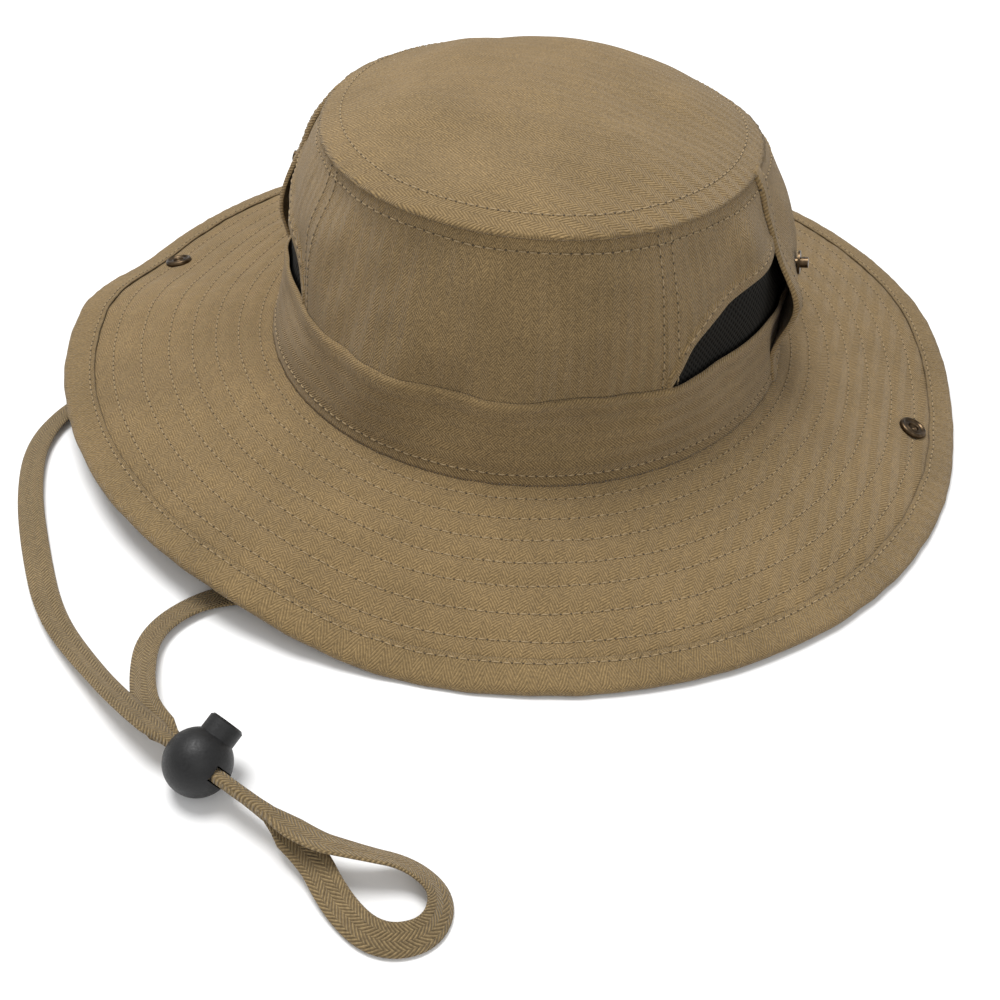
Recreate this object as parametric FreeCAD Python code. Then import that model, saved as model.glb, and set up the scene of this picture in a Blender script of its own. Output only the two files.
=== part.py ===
import FreeCAD, Part
import math
import os

# Boonie hat: a stitched cloth crown on a floppy stiffened brim, with side vents,
# a hat band, a sweatband, brim snaps and a flat chin cord with a ball cord lock.
# Units are millimetres. The wearer faces -Y, the wearer's left is +X and +Z is up.
# The origin is on the ground under the middle of the brim.

V = FreeCAD.Vector

# ---------------------------------------------------------------- driving sizes
HEAD_HALF_WIDTH = 87.0          # outside of the crown at the brim seam, ear to ear
HEAD_HALF_LENGTH = 103.0        # outside of the crown at the brim seam, front to back
SEAM_Z = 20.0                   # height of the brim seam above the ground
BRIM_WIDTH = 66.0               # measured down the slope
CLOTH = 0.6                     # one layer of brim cloth
BINDING = 0.5                   # bias tape folded over the brim's edge
BINDING_REACH = 9.0             # how far the tape covers the brim
SEAM_ALLOWANCE = 2.4            # brim cloth turned inside the crown
LAYER_GAP = 0.12                # between the tape and the cloth that it wraps
EDGE_LIFT = 0.16                # the edge's smooth curve dips this far between its points

TIP_HALF_WIDTH = 66.0           # seam between the crown's wall and its top
TIP_FRONT = 83.3
TIP_BACK = 78.0
TIP_CENTRE_Y = -11.8
TIP_SEAM_Z = 94.4
TIP_FRONT_RISE = 1.8
TIP_BACK_DROP = 6.4
DOME_RISE = 16.0
DOME_POWER = 2.5
TIP_THICKNESS = 1.0

BULGE_SIDE = 6.5                # how far the crown's wall swells out
BULGE_BACK_MORE = 4.5
WALL_TOP = 0.985                # the wall stops just under the crown's top piece
LAYER = 0.8                     # band, back panel and sweatband
WALL_OUT = -0.9                 # panels lie inside the band, at these offsets
WALL_IN = -1.8
MESH_OUT = -2.0
MESH_IN = -2.4
SWEATBAND_OUT = -2.5
WALL_STEP_COUNT = 14            # the wall's faces change slope at these steps
BAND_STEPS = 5                  # the band and sweatband are this many steps high
MESH_STEPS = (4, 11)
SEAM_TAPE_STEPS = (12, 13)
PANEL_SEAM_ANGLE = 315.0        # the two upright seams, 45 degrees off the front

FLAP_EDGE_Y = -13.0             # front hem of the back panel, over the band's end
FLAP_GAPE = 6.5
FLAP_SPREAD = 14.0              # degrees
FLAP_LOW = 26.0
FLAP_HIGH = 74.0
SIDE_PANEL_END_Y = 0.0
MESH_FRONT_Y = -80.0
MESH_BACK_Y = 16.0
VENT_EDGE = [(-69, 44.5), (-65, 53), (-57, 60.5), (-42, 65.5), (-22, 69), (4, 70.5)]
VENT_FLOOR_Z = 43.0

FOLD_X = 96.2                   # fold line of each side of the brim
FOLD_GAP = 0.3
FOLD_Z = 18.3
FOLD_ANGLE = {"left": 117.5, "right": 115.0}

SNAP_REACH = 50.7               # from the crown, down the brim
SNAP_RADIUS = 4.8
SNAP_HOLE = 1.9
SNAP_BARREL = 2.4
SNAP_RING_HEIGHT = 1.4
SNAP_CAP = 0.9
STUD_FLANGE = 3.8
STUD_HEAD = 1.7
STUD_POST = 1.5
STUD_GAP = 0.2
STUD_PLATE = 0.7
STUD_STAND = {"left": 1.1, "right": 2.5}    # from the folded ring to the stud's flange
STUD_GRIP = 2.3                 # from the flange's front to the backing plate
SNAP_LIFT = 0.2                 # the ring and cap just clear the curved cloth

TAPE_WIDTH = 7.5                # flat chin cord
TAPE_THICKNESS = 1.2
CORD_RADIUS = 1.7               # a round tube of the same section area
TACK_SIZE = (4.6, 10.0, 5.7)
TACK_X = 82.0
TACK_TOP = 18.5

LOCK_RADIUS = 8.25
LOCK_CENTRE = V(-22.8, -214.4, LOCK_RADIUS)
LOCK_HEADING = -21.0            # degrees from +X, the way the doubled cord runs
LOCK_TILT = 29.0                # the button points this far above the ground
STRAND_OFFSET = 1.85            # each strand's distance from the lock's middle
STRAND_CLEARANCE = 0.3
BUTTON_RADIUS = 4.5
BUTTON_BORE = 4.6
BUTTON_TRAVEL = 2.2
BUTTON_TOP = 11.3
BUTTON_FLOOR = -3.2
BORE_FLOOR = -6.6
SPRING_RADIUS = 3.2
SPRING_WIRE = 0.28
SPRING_TURNS = 2
SPRING_SIDES = 8                # the wire's section is a polygon of the round wire's area

RING_POINTS = 60
RING_START = 100.0              # every ring's seam lies at the back, off the cuts

# The chin cord, from the wearer's right anchor to the left one.
CORD_ROUTE = [
    (-82.0, -5.0, 15.5),
    (-82.5, -17.0, 14.0),
    (-86.5, -31.0, 9.5),
    (-95.5, -46.0, 4.5),
    (-108.5, -60.0, 1.9),
    (-121.0, -75.0, 1.7),
    (-128.5, -92.5, 1.7),
    (-127.5, -113.0, 1.7),
    (-116.5, -135.0, 1.7),
    (-100.5, -157.5, 1.7),
    (-84.0, -178.0, 1.7),
    (-64.0, -193.0, 4.2),
    (-39.92, -208.79, 9.87),
    (7.69, -227.07, 9.87),
    (21.0, -225.5, 9.2),
    (32.5, -220.5, 4.2),
    (42.0, -225.5, 1.7),
    (42.0, -236.5, 1.7),
    (32.0, -242.0, 1.7),
    (20.5, -236.5, 1.9),
    (8.33, -225.39, 6.63),
    (-39.28, -207.11, 6.63),
    (-50.5, -191.0, 2.6),
    (-56.8, -174.5, 1.7),
    (-50.5, -158.5, 1.7),
    (-35.0, -148.0, 1.7),
    (-16.0, -138.0, 1.7),
    (5.0, -127.5, 1.7),
    (26.0, -114.5, 1.7),
    (45.5, -99.0, 1.7),
    (61.5, -81.0, 1.7),
    (73.0, -61.5, 2.2),
    (79.5, -43.0, 5.0),
    (82.0, -28.5, 10.0),
    (82.3, -16.5, 14.2),
    (82.0, -5.0, 15.5),
]
ARC_SHARE = 0.45                # part of the shorter run that a bend may use

os.makedirs("parts", exist_ok=True)


def export(name, shape):
    """Write one sub-part, after a check that it is one valid solid."""
    if not shape.isValid() or len(shape.Solids) != 1:
        raise RuntimeError("%s: %d solids, valid %s" % (name, len(shape.Solids), shape.isValid()))
    shape.Solids[0].exportStep("parts/%s.step" % name)
    print("%-26s %9.1f mm3" % (name, shape.Volume))


# ---------------------------------------------------------------- ring solids
def ring(place):
    """A closed smooth curve through the points that place gives round the head."""
    points = []
    for index in range(RING_POINTS):
        points.append(place(RING_START + 360.0 * index / RING_POINTS))
    curve = Part.BSplineCurve()
    curve.interpolate(Points=points, PeriodicFlag=True)
    return curve.toShape()


def closed_solid(faces):
    """One solid from faces that share their edges."""
    shell = Part.Compound(faces)
    shell.sewShape(0.001)
    solid = Part.Solid(shell.Shells[0])
    if solid.Volume < 0:
        solid.reverse()
    return solid


def ring_solid(places):
    """A closed band round the head: places are its section's corners, in order."""
    rings = [ring(place) for place in places]
    faces = []
    for index, edge in enumerate(rings):
        faces.append(Part.makeRuledSurface(edge, rings[(index + 1) % len(rings)]))
    return closed_solid(faces)


def block(x0, x1, y0, y1, z0=-10.0, z1=160.0):
    return Part.makeBox(x1 - x0, y1 - y0, z1 - z0, V(x0, y0, z0))


def mirrored(shape):
    return shape.mirror(V(0, 0, 0), V(1, 0, 0))


def one_solid(shape):
    """The only solid of a cut, without its compound."""
    if len(shape.Solids) != 1:
        raise RuntimeError("a cut left %d solids" % len(shape.Solids))
    return shape.Solids[0]


# ---------------------------------------------------------------- brim surface
def base_point(angle):
    turn = math.radians(angle)
    return V(HEAD_HALF_WIDTH * math.cos(turn), HEAD_HALF_LENGTH * math.sin(turn), 0)


def outward(angle):
    turn = math.radians(angle)
    side = V(math.cos(turn) / HEAD_HALF_WIDTH, math.sin(turn) / HEAD_HALF_LENGTH, 0)
    return side.normalize()


def plateau(angle, centre, flat, reach):
    """1 within flat degrees of centre, falling smoothly to 0 at reach."""
    away = abs((angle - centre + 180.0) % 360.0 - 180.0)
    share = min(max((away - flat) / (reach - flat), 0.0), 1.0)
    return 1.0 - share * share * (3.0 - 2.0 * share)


def edge_height(angle):
    """The brim rests on the ground in four places and lifts between them."""
    front_right = 10.0 * plateau(angle, 226.0, 25.0, 50.0)
    back_left = 8.0 * plateau(angle, 45.0, 12.0, 45.0)
    wave = math.sin(math.radians(2.0 * angle)) ** 2
    return EDGE_LIFT + front_right + back_left + wave


STACK = 3 * CLOTH + BINDING
SEAM_REFERENCE_Z = SEAM_Z - STACK


def brim_slope(angle):
    """Sine of the slope down from the crown."""
    return (SEAM_REFERENCE_Z - edge_height(angle)) / BRIM_WIDTH


def brim_point(angle, reach, height):
    """reach is measured down the slope and height up from the binding's underside."""
    sine = brim_slope(angle)
    level = reach * math.sqrt(1.0 - sine * sine)
    point = base_point(angle) + outward(angle) * level
    point.z = SEAM_REFERENCE_Z - max(reach, 0.0) * sine + height
    return point


def brim_corner(reach, height):
    return lambda angle: brim_point(angle, reach, height)


def brim_ring(corners):
    return ring_solid([brim_corner(reach, height) for reach, height in corners])


def brim_layer(low, high):
    corners = [(-SEAM_ALLOWANCE, low), (0, low), (BRIM_WIDTH, low)]
    corners += [(BRIM_WIDTH, high), (0, high), (-SEAM_ALLOWANCE, high)]
    return brim_ring(corners)


def brim_binding():
    inner = BRIM_WIDTH - BINDING_REACH
    edge = BRIM_WIDTH + LAYER_GAP
    outer = BRIM_WIDTH + BINDING
    above = STACK + LAYER_GAP
    below = BINDING - LAYER_GAP
    corners = [(inner, above), (inner, STACK + BINDING), (outer, STACK + BINDING), (outer, 0)]
    corners += [(inner, 0), (inner, below), (edge, below), (edge, above)]
    return brim_ring(corners)


# ---------------------------------------------------------------- crown surface
def tip_seam_height(angle):
    back = math.sin(math.radians(angle))
    if back < 0:
        return TIP_SEAM_Z + TIP_FRONT_RISE * back * back
    return TIP_SEAM_Z - TIP_BACK_DROP * back * back


def tip_point(angle, share):
    """Plan position on the crown's top, at this share of the way to its seam."""
    turn = math.radians(angle)
    half_length = TIP_BACK if math.sin(turn) > 0 else TIP_FRONT
    y = TIP_CENTRE_Y + share * half_length * math.sin(turn)
    return V(share * TIP_HALF_WIDTH * math.cos(turn), y, 0)


def wall_height(angle, level):
    return SEAM_Z + (tip_seam_height(angle) - SEAM_Z) * level


def wall_point(angle, level, offset):
    """level runs from 0 at the brim seam to 1 at the top seam."""
    swell = BULGE_SIDE + BULGE_BACK_MORE * math.sin(math.radians(angle))
    profile = level * level * (1.0 - level) / 0.148
    point = base_point(angle) * (1.0 - level) + tip_point(angle, 1.0) * level
    point += outward(angle) * (swell * profile + offset)
    point.z = wall_height(angle, level)
    return point


def flap_gape(angle, height):
    """How far the back panel stands off at its two front hems."""
    if height <= FLAP_LOW or height >= FLAP_HIGH:
        return 0.0
    hem = math.degrees(math.asin(FLAP_EDGE_Y / HEAD_HALF_LENGTH))
    rise = math.sin(math.pi * (height - FLAP_LOW) / (FLAP_HIGH - FLAP_LOW)) ** 2
    total = 0.0
    for centre in (hem, 180.0 - hem):
        away = ((angle - centre + 180.0) % 360.0 - 180.0) / FLAP_SPREAD
        total += math.exp(-away * away)
    return FLAP_GAPE * rise * total


def wall_corner(level, offset, drop=0.0):
    def place(angle):
        point = wall_point(angle, level, offset)
        point.z -= drop
        return point
    return place


def flap_corner(level, offset):
    def place(angle):
        return wall_point(angle, level, offset + flap_gape(angle, wall_height(angle, level)))
    return place


def levels(low, high, count):
    return [low + (high - low) * index / count for index in range(count + 1)]


WALL_STEPS = levels(0.0, WALL_TOP, WALL_STEP_COUNT)


def wall_ring(first, last, outer, inner, corner=wall_corner):
    """A layer of the wall between two of its steps."""
    steps = WALL_STEPS[first:last + 1]
    places = [corner(level, outer) for level in steps]
    places += [corner(level, inner) for level in reversed(steps)]
    return ring_solid(places)


# ---------------------------------------------------------------- cutting tools
def sector(first, last, reach=300.0):
    """An upright wedge between two directions on the crown's base, counter-clockwise."""
    corners = [V(0, 0, 0)]
    for angle in (first, 0.5 * (first + last), last):
        corners.append(base_point(angle).normalize() * reach)
    corners.append(corners[0])
    face = Part.Face(Part.makePolygon([V(c.x, c.y, -10) for c in corners]))
    return face.extrude(V(0, 0, 170))


def vent_cutter():
    """The leaf-shaped opening in the wearer's left side panel, as an upright prism."""
    points = [V(30, y, z) for y, z in VENT_EDGE]
    curve = Part.BSplineCurve()
    curve.interpolate(points)
    low_back = V(30, VENT_EDGE[-1][0], VENT_FLOOR_Z)
    low_front = V(30, VENT_EDGE[0][0], VENT_FLOOR_Z)
    edges = [curve.toShape()]
    edges.append(Part.makeLine(points[-1], low_back))
    edges.append(Part.makeLine(low_back, low_front))
    edges.append(Part.makeLine(low_front, points[0]))
    return Part.Face(Part.Wire(edges)).extrude(V(100, 0, 0))


# ---------------------------------------------------------------- snaps
def turned(profile, origin, axis):
    """A solid of revolution: profile is (radius, height) corners up the axis."""
    corners = [V(radius, 0, height) for radius, height in profile]
    corners.append(corners[0])
    solid = Part.Face(Part.makePolygon(corners)).revolve(V(0, 0, 0), V(0, 0, 1), 360)
    turn = FreeCAD.Rotation(V(0, 0, 1), axis)
    solid.Placement = FreeCAD.Placement(origin, turn)
    if solid.Volume < 0:
        solid.reverse()
    return solid


def disc(radius, low, high, origin, axis):
    return turned([(0, low), (radius, low), (radius, high), (0, high)], origin, axis)


def washer(outer, inner, low, high, origin, axis):
    corners = [(inner, low), (outer, low), (outer, high), (inner, high)]
    return turned(corners, origin, axis)


SIDE_SIGN = {"left": 1, "right": -1}
SIDE_ANGLE = {"left": 0.0, "right": 180.0}


def snap_frame(side):
    """Centre and normal of one snap, on the brim's upper face."""
    angle = SIDE_ANGLE[side]
    step = 2.0
    along = brim_point(angle + step, SNAP_REACH, STACK) - brim_point(angle - step, SNAP_REACH, STACK)
    down = brim_point(angle, SNAP_REACH + step, STACK) - brim_point(angle, SNAP_REACH - step, STACK)
    return brim_point(angle, SNAP_REACH, STACK), down.cross(along).normalize()


def folded(side, point, normal):
    """Where a point of a wing and its direction go when the wing is folded up."""
    turn = FreeCAD.Rotation(V(0, -SIDE_SIGN[side], 0), FOLD_ANGLE[side])
    hinge = V(SIDE_SIGN[side] * FOLD_X, 0, FOLD_Z)
    return hinge + turn.multVec(point - hinge), turn.multVec(normal)


# ---------------------------------------------------------------- chin cord
def cord_tube(route, radius):
    """Straight runs joined by arcs that touch them, swept with a round section."""
    points = [V(*place) for place in route]
    edges = []
    last = points[0]
    radii = []
    for before, corner, after in zip(points, points[1:], points[2:]):
        run_in = corner - before
        run_out = after - corner
        length_in = run_in.Length
        length_out = run_out.Length
        half_turn = 0.5 * run_in.getAngle(run_out)
        reach = ARC_SHARE * min(length_in, length_out)
        radii.append(reach / math.tan(half_turn))
        start = corner - run_in * (reach / length_in)
        end = corner + run_out * (reach / length_out)
        back = (start + end) * 0.5 - corner
        middle = corner + back.normalize() * (radii[-1] / math.cos(half_turn) - radii[-1])
        edges.append(Part.LineSegment(last, start).toShape())
        edges.append(Part.Arc(start, middle, end).toShape())
        last = end
    edges.append(Part.LineSegment(last, points[-1]).toShape())
    path = Part.Wire(edges)
    section = Part.Wire(Part.makeCircle(radius, points[0], points[1] - points[0]))
    tube = path.makePipeShell([section], True, False)
    expected = math.pi * radius * radius * path.Length
    print("cord length %.1f mm, volume over expected %.4f" % (path.Length, tube.Volume / expected))
    print("bend radii", [round(value, 1) for value in radii])
    return tube


def cord_tack(side):
    """The tape's end, folded and bar-tacked under the sweatband's lower edge."""
    width, depth, height = TACK_SIZE
    return Part.makeBox(width, depth, height,
                        V(side * TACK_X - width / 2, -depth / 2, TACK_TOP - height))


# ---------------------------------------------------------------- cord lock
def lock_axes():
    """Along the cord, across both strands, and out through the button."""
    heading = math.radians(LOCK_HEADING)
    tilt = math.radians(LOCK_TILT)
    along = V(math.cos(heading), math.sin(heading), 0)
    level = V(-math.sin(heading), math.cos(heading), 0)
    button = level * math.cos(tilt) + V(0, 0, math.sin(tilt))
    return along, along.cross(button), button


def strand_slot(low, high, half_width, length):
    """A slot along the cord, low to high along the button and half_width each way."""
    along, across, button = lock_axes()
    slot = Part.makeBox(length, 2 * half_width, high - low, V(-length / 2, -half_width, low))
    placement = FreeCAD.Matrix()
    for row, axis in enumerate(("x", "y", "z")):
        for column, direction in enumerate((along, across * -1, button)):
            setattr(placement, "A%d%d" % (row + 1, column + 1), getattr(direction, axis))
    slot = slot.transformGeometry(placement)
    slot.translate(LOCK_CENTRE)
    return slot


def lock_body():
    button = lock_axes()[2]
    half_gap = CORD_RADIUS + STRAND_CLEARANCE
    half_width = STRAND_OFFSET + CORD_RADIUS + STRAND_CLEARANCE
    ball = Part.makeSphere(LOCK_RADIUS, LOCK_CENTRE)
    bore = disc(BUTTON_BORE, BORE_FLOOR, LOCK_RADIUS + 1, LOCK_CENTRE, button)
    slot = strand_slot(-half_gap, half_gap, half_width, 3 * LOCK_RADIUS)
    return one_solid(ball.cut(bore).cut(slot))


def lock_button():
    button = lock_axes()[2]
    half_gap = CORD_RADIUS + STRAND_CLEARANCE
    half_width = STRAND_OFFSET + CORD_RADIUS + 0.2
    edge = 0.6
    profile = [(0, BUTTON_FLOOR), (BUTTON_RADIUS, BUTTON_FLOOR)]
    profile += [(BUTTON_RADIUS, BUTTON_TOP - edge), (BUTTON_RADIUS - edge, BUTTON_TOP)]
    profile.append((0, BUTTON_TOP))
    slot = strand_slot(-half_gap, half_gap + BUTTON_TRAVEL, half_width, 3 * LOCK_RADIUS)
    return one_solid(turned(profile, LOCK_CENTRE, button).cut(slot))


def lock_spring():
    button = lock_axes()[2]
    low = BORE_FLOOR + SPRING_WIRE + 0.02
    high = BUTTON_FLOOR - SPRING_WIRE - 0.02
    helix = Part.makeHelix((high - low) / SPRING_TURNS, high - low, SPRING_RADIUS)
    sector_angle = 2 * math.pi / SPRING_SIDES
    corner = SPRING_WIRE * math.sqrt(sector_angle / math.sin(sector_angle))
    points = []
    for index in range(SPRING_SIDES + 1):
        turn = sector_angle * index
        points.append(V(SPRING_RADIUS + corner * math.cos(turn), 0, corner * math.sin(turn)))
    section = Part.makePolygon(points)
    coil = Part.Wire(helix).makePipeShell([section], True, True)
    turn = FreeCAD.Rotation(V(0, 0, 1), button)
    coil.Placement = FreeCAD.Placement(LOCK_CENTRE + button * low, turn)
    return coil


# ---------------------------------------------------------------- brim and wings
root_zone = block(-FOLD_X + FOLD_GAP, FOLD_X - FOLD_GAP, -300, 300)
wing_zones = {
    "left": block(FOLD_X + FOLD_GAP, 300, -300, 300),
    "right": block(-300, -FOLD_X - FOLD_GAP, -300, 300),
}
rivet_holes = {side: disc(SNAP_BARREL + 0.05, -8, 8, *snap_frame(side)) for side in SIDE_SIGN}

layer_bottom = BINDING
for layer_name in ("under", "interlining", "top"):
    layer = brim_layer(layer_bottom, layer_bottom + CLOTH)
    export("brim_" + layer_name, one_solid(layer.common(root_zone)))
    for side in SIDE_SIGN:
        wing = layer.common(wing_zones[side]).cut(rivet_holes[side])
        export("%s_wing_%s" % (side, layer_name), one_solid(wing))
    layer_bottom += CLOTH

binding = brim_binding()
root_binding = binding.common(root_zone)
export("brim_front_binding", one_solid(root_binding.common(block(-300, 300, -300, 0))))
export("brim_back_binding", one_solid(root_binding.common(block(-300, 300, 0, 300))))
for side in SIDE_SIGN:
    export(side + "_wing_binding", one_solid(binding.common(wing_zones[side])))

# ---------------------------------------------------------------- crown
dome_shares = (1.0, 0.94, 0.86, 0.74, 0.58, 0.4, 0.2, 0.05)


def dome_corner(share, drop):
    flat = share == dome_shares[-1]

    def place(angle):
        point = tip_point(angle, share)
        rise = DOME_RISE * (1.0 - share ** DOME_POWER)
        seam = 0.0 if flat else (tip_seam_height(angle) - TIP_SEAM_Z) * share * share
        point.z = TIP_SEAM_Z + seam + rise - drop
        return point
    return place


def crown_tip():
    above = [ring(dome_corner(share, 0.0)) for share in dome_shares]
    below = [ring(dome_corner(share, TIP_THICKNESS)) for share in dome_shares]
    strips = [Part.makeRuledSurface(above[0], below[0])]
    for rings in (above, below):
        for wide, narrow in zip(rings, rings[1:]):
            strips.append(Part.makeRuledSurface(wide, narrow))
        strips.append(Part.Face(Part.Wire(rings[-1])))
    return closed_solid(strips)


export("crown_tip", crown_tip())

wall = wall_ring(0, WALL_STEP_COUNT, WALL_OUT, WALL_IN)
front_seam = PANEL_SEAM_ANGLE
export("crown_front_panel", one_solid(wall.common(sector(540.0 - front_seam, front_seam))))
side_zone = sector(front_seam, 360.0).common(block(0, 300, -300, SIDE_PANEL_END_Y))
side_panel = one_solid(wall.common(side_zone).cut(vent_cutter()))
export("crown_left_side_panel", side_panel)
export("crown_right_side_panel", mirrored(side_panel))

mesh_zone = block(0, 300, MESH_FRONT_Y, MESH_BACK_Y)
mesh = one_solid(wall_ring(*MESH_STEPS, MESH_OUT, MESH_IN).common(mesh_zone))
export("left_vent_mesh", mesh)
export("right_vent_mesh", mirrored(mesh))

band_zone = block(-300, 300, -300, FLAP_EDGE_Y - 0.2)
export("hat_band", one_solid(wall_ring(0, BAND_STEPS, 0.0, -LAYER).common(band_zone)))

back_zone = block(-300, 300, FLAP_EDGE_Y, 300)
back_panel = wall_ring(0, WALL_STEP_COUNT, 0.0, -LAYER, flap_corner)
back_panel = one_solid(back_panel.common(back_zone))

low_edge = SEAM_Z - TACK_TOP
sweat_outer = [wall_corner(0.0, SWEATBAND_OUT, low_edge)]
sweat_inner = [wall_corner(0.0, SWEATBAND_OUT - LAYER, low_edge)]
for level in WALL_STEPS[:BAND_STEPS + 1]:
    sweat_outer.append(wall_corner(level, SWEATBAND_OUT))
    sweat_inner.append(wall_corner(level, SWEATBAND_OUT - LAYER))
export("sweatband", ring_solid(sweat_outer + sweat_inner[::-1]))
export("crown_seam_tape", wall_ring(*SEAM_TAPE_STEPS, MESH_OUT, MESH_OUT - LAYER))


# ---------------------------------------------------------------- snap fastenings
def snap_socket(centre, normal):
    """A ring on the brim, with a barrel through the cloth."""
    depth = -3 * CLOTH + 0.1
    profile = [(SNAP_HOLE, depth), (SNAP_BARREL, depth), (SNAP_BARREL, SNAP_LIFT)]
    profile += [(SNAP_RADIUS, SNAP_LIFT), (SNAP_RADIUS, 0.8 * SNAP_RING_HEIGHT)]
    profile += [(SNAP_RADIUS - 0.5, SNAP_RING_HEIGHT), (SNAP_HOLE, SNAP_RING_HEIGHT)]
    return turned(profile, centre, normal)


def snap_cap(centre, normal):
    """The plain disc under the brim."""
    low = -3 * CLOTH - SNAP_CAP
    return disc(SNAP_RADIUS, low, low + SNAP_CAP - SNAP_LIFT, centre, normal)


def snap_stud(face, axis, stand):
    """The head on the crown that the brim's ring snaps over, with its post."""
    plate = stand + STUD_PLATE
    end = stand + STUD_GRIP + STUD_PLATE
    profile = [(0, -SNAP_RING_HEIGHT), (STUD_HEAD, -SNAP_RING_HEIGHT), (STUD_HEAD, stand)]
    profile += [(STUD_FLANGE, stand), (STUD_FLANGE, plate), (STUD_POST, plate)]
    profile += [(STUD_POST, end), (0, end)]
    return turned(profile, face, axis)


for side in SIDE_SIGN:
    centre, normal = snap_frame(side)
    face, axis = folded(side, centre + normal * (SNAP_RING_HEIGHT + STUD_GAP), normal)
    stand = STUD_STAND[side]
    low = stand + STUD_GRIP
    pressed_front = disc(STUD_FLANGE + 0.1, -1, stand + STUD_PLATE + 0.02, face, axis)
    pressed_back = disc(STUD_FLANGE + 0.1, low - 0.02, low + STUD_PLATE + 1, face, axis)
    for tool in (disc(STUD_POST + 0.1, 0, 9, face, axis), pressed_front, pressed_back):
        back_panel = back_panel.cut(tool)
    export(side + "_snap_socket", snap_socket(centre, normal))
    export(side + "_snap_cap", snap_cap(centre, normal))
    export(side + "_snap_stud", snap_stud(face, axis, stand))
    backing = washer(STUD_FLANGE, STUD_POST, low, low + STUD_PLATE, face, axis)
    export(side + "_snap_backing", backing)
export("crown_back_panel", one_solid(back_panel))

# ---------------------------------------------------------------- cord and lock
export("chin_cord", cord_tube(CORD_ROUTE, CORD_RADIUS))
export("left_cord_tack", cord_tack(1))
export("right_cord_tack", cord_tack(-1))
export("lock_body", lock_body())
export("lock_button", lock_button())
export("lock_spring", lock_spring())
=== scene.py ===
import math

import bpy
import numpy as np
from mathutils import Matrix, Vector, noise


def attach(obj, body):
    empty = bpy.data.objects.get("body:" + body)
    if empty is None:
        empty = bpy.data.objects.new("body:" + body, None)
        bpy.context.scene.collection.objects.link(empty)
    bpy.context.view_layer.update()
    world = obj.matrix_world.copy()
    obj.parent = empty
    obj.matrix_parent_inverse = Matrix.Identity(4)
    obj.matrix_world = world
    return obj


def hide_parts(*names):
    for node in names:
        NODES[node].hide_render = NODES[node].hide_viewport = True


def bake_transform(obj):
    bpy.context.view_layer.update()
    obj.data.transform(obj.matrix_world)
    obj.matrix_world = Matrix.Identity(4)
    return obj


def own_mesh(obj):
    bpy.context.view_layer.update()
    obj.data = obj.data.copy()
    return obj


# Boonie hat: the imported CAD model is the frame, and this script makes the cloth, the sewing,
# the tape and the finishes round it. Shapes are worked out in millimetres, as in the part's
# source, and meshes are made in metres. Angles are degrees round the crown, with the front
# of the hat at 270 and the wearer's left at 0.

MM = 0.001

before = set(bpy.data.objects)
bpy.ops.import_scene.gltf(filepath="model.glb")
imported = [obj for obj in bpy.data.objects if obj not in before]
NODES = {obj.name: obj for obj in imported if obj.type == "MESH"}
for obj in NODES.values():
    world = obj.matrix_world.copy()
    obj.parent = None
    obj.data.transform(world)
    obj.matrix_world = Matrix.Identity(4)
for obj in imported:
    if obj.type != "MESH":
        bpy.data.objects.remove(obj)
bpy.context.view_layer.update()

# ---------------------------------------------------------------- sizes shared with the part
HEAD_HALF_WIDTH = 87.0
HEAD_HALF_LENGTH = 103.0
SEAM_Z = 20.0
BRIM_WIDTH = 66.0
STACK = 2.3
BINDING_THICKNESS = 0.5
SEAM_REFERENCE_Z = SEAM_Z - STACK
EDGE_LIFT = 0.16
SEAM_ALLOWANCE = 2.4
TIP_HALF_WIDTH = 66.0
TIP_FRONT = 83.3
TIP_BACK = 78.0
TIP_CENTRE_Y = -11.8
TIP_SEAM_Z = 94.4
TIP_FRONT_RISE = 1.8
TIP_BACK_DROP = 6.4
DOME_RISE = 16.0
DOME_POWER = 2.5
BULGE_SIDE = 6.5
BULGE_BACK_MORE = 4.5
PANEL_OUT = -0.9
PANEL_IN = -1.8
WALL_TOP = 0.985
BAND_LEVEL = WALL_TOP * 5 / 14
FLAP_EDGE_Y = -13.0
FLAP_GAPE = 6.5
FLAP_SPREAD = 14.0
FLAP_LOW = 26.0
FLAP_HIGH = 74.0
VENT_CURVE = [(-69, 44.5), (-65, 53), (-57, 60.5), (-42, 65.5), (-22, 69), (4, 70.5)]
SNAP_REACH = 50.7
HEM_ANGLE = math.degrees(math.asin(FLAP_EDGE_Y / HEAD_HALF_LENGTH))

# ---------------------------------------------------------------- sewing
THREAD = 0.24                   # radius of a stitch
STITCH_LENGTH = 2.1
STITCH_PITCH = 2.9
BRIM_ROWS = [4.2, 11.2, 18.6, 26.2, 33.8, 42.6, 51.4]
BINDING_ROW = 58.6
QUILT_PUFF = 0.42               # how far the cloth stands up between rows of sewing
VALLEY_WIDTH = 2.0
FINE_PUCKER = (4.5, 0.22)       # size and depth of the waves in the brim's cloth
BROAD_PUCKER = (22.0, 0.55)
HOLE_LENGTH = 0.7
HOLE_RADIUS = 0.3
HOLE_SINK = -0.1                # needle holes lie a little into the cloth


# ---------------------------------------------------------------- the hat's surfaces
def base_point(angle):
    turn = math.radians(angle)
    return Vector((HEAD_HALF_WIDTH * math.cos(turn), HEAD_HALF_LENGTH * math.sin(turn), 0))


def outward(angle):
    turn = math.radians(angle)
    return Vector((math.cos(turn) / HEAD_HALF_WIDTH, math.sin(turn) / HEAD_HALF_LENGTH, 0)).normalized()


def smooth(share):
    share = min(max(share, 0.0), 1.0)
    return share * share * (3.0 - 2.0 * share)


def plateau(angle, centre, flat, reach):
    away = abs((angle - centre + 180.0) % 360.0 - 180.0)
    return 1.0 - smooth((away - flat) / (reach - flat))


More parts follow.
